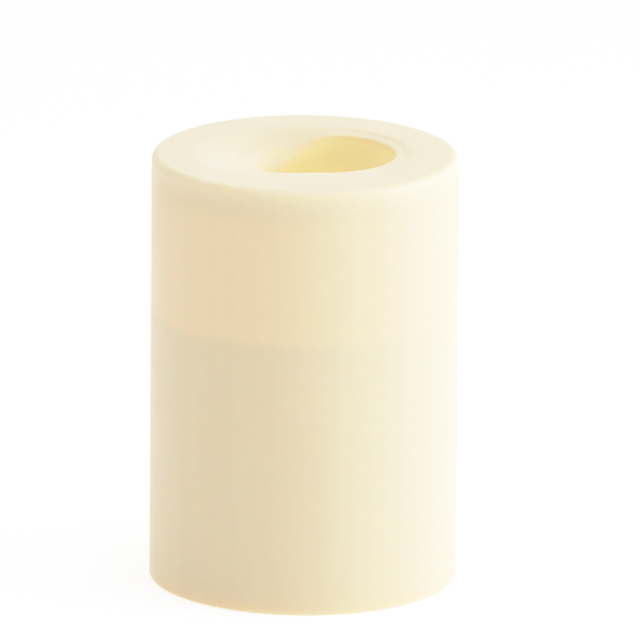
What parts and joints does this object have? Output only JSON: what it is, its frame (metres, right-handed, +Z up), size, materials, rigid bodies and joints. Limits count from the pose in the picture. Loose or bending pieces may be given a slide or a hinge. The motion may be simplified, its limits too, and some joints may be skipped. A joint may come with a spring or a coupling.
{
  "type": "flameless pillar candle",
  "caption": "Ivory resin pillar candle with a lit well sunk off-centre in its top, twist-off battery cover and slide switch underneath.",
  "frame": {"origin": "centre of the circle that the candle stands on, at the height of its foot", "axes": "+Z up along the candle's axis; -Y is the front, where the switch is; the well's mouth leans towards +X and +Y"},
  "size_m": [0.095, 0.095, 0.135],
  "materials": {
    "wax_resin": "translucent ivory resin with a soft waxy sheen",
    "ivory_plastic": "moulded, fine matt texture",
    "white_plastic": "moulded, satin, scatters the light",
    "black_plastic": "moulded, satin",
    "black_rubber": "matt",
    "silicone": "translucent, matt",
    "led_lens": "clear amber epoxy, lit",
    "steel": "zinc plated",
    "nickel": "nickel plated spring steel",
    "board_green": "solder mask over glass epoxy",
    "capacitor_sleeve": "shrunk sleeve",
    "resistor_body": "lacquered, colour bands",
    "cell_jacket": "plain printed jacket",
    "wire_red": "PVC insulation",
    "wire_black": "PVC insulation",
    "wire_white": "PVC insulation"
  },
  "bodies": {
    "candle": {"candle_shell": "wax_resin", "led_grommet": "silicone", "led": "led_lens", "led_lead_positive": "steel", "led_lead_negative": "steel", "led_wire_positive": "wire_red", "led_wire_negative": "wire_black", "module_cap": "white_plastic", "battery_housing": "black_plastic", "base_plate": "ivory_plastic", "base_seal": "black_rubber", "circuit_board": "board_green", "timer_chip": "black_plastic", "timing_crystal": "steel", "smoothing_capacitor": "capacitor_sleeve", "led_resistor": "resistor_body", "timer_resistor": "resistor_body", "driver_transistor": "black_plastic", "battery_cell_left": "cell_jacket", "battery_cell_right": "cell_jacket", "positive_contact": "nickel", "negative_contact": "nickel", "negative_spring": "nickel", "switch_frame": "steel", "switch_body": "black_plastic", "switch_wire_on": "wire_red", "switch_wire_common": "wire_black", "switch_wire_timer": "wire_white", "base_screw_1": "steel", "base_screw_2": "steel", "base_screw_3": "steel", "housing_screw_1": "steel", "housing_screw_2": "steel", "housing_screw_3": "steel", "housing_screw_4": "steel", "cap_screw_1": "steel", "cap_screw_2": "steel", "cap_screw_3": "steel", "cap_screw_4": "steel", "board_screw_1": "steel", "board_screw_2": "steel", "switch_screw_1": "steel", "switch_screw_2": "steel"},
    "cover_seal": {"cover_seal": "black_rubber"},
    "battery_cover": {"battery_cover": "ivory_plastic", "bridge_contact": "nickel", "bridge_spring": "nickel"},
    "switch_knob": {"switch_knob": "black_plastic"}
  },
  "joints": [
    {"name": "cover_travel", "type": "slide", "parent": "candle", "child": "cover_seal", "axis": [0, 0, -1], "range_m": [0, 0.012]},
    {"name": "cover_turn", "type": "hinge", "parent": "cover_seal", "child": "battery_cover", "pos_m": [0, 0, 0.003], "axis": [0, 0, -1], "range_deg": [0, 360]},
    {"name": "switch_slide", "type": "slide", "parent": "candle", "child": "switch_knob", "axis": [1, 0, 0], "range_m": [0, 0.006]}
  ],
  "couplings": [
    {"joint": "cover_travel", "follows": "cover_turn", "m_per_rad": 0.0019098}
  ]
}
